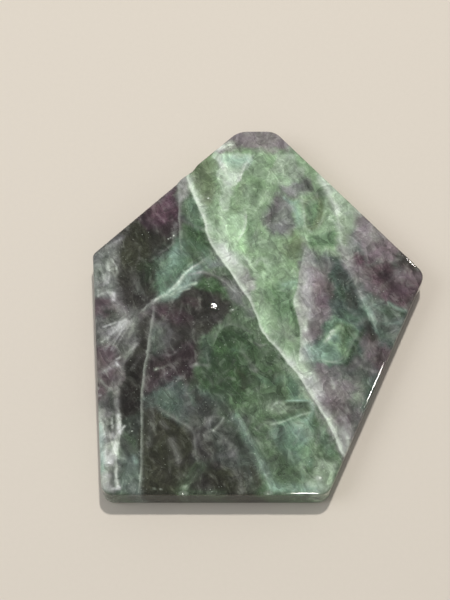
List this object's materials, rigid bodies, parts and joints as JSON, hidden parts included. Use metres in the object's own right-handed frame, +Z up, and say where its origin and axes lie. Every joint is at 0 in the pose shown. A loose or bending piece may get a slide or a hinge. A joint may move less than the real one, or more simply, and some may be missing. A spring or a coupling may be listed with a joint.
{
  "type": "polished fluorite slab",
  "caption": "Flat five-sided slab of polished green and purple fluorite with rounded edges, white veins and a blunt apex.",
  "frame": {"origin": "centre of the bounding box, on the flat underside", "axes": "+Y towards the blunt apex, +X towards the right corner, +Z up through the thickness"},
  "size_m": [0.0854, 0.101, 0.008],
  "materials": {
    "fluorite": "polished, clear to cloudy"
  },
  "bodies": {
    "root": {"fluorite_slab": "fluorite"}
  },
  "joints": []
}
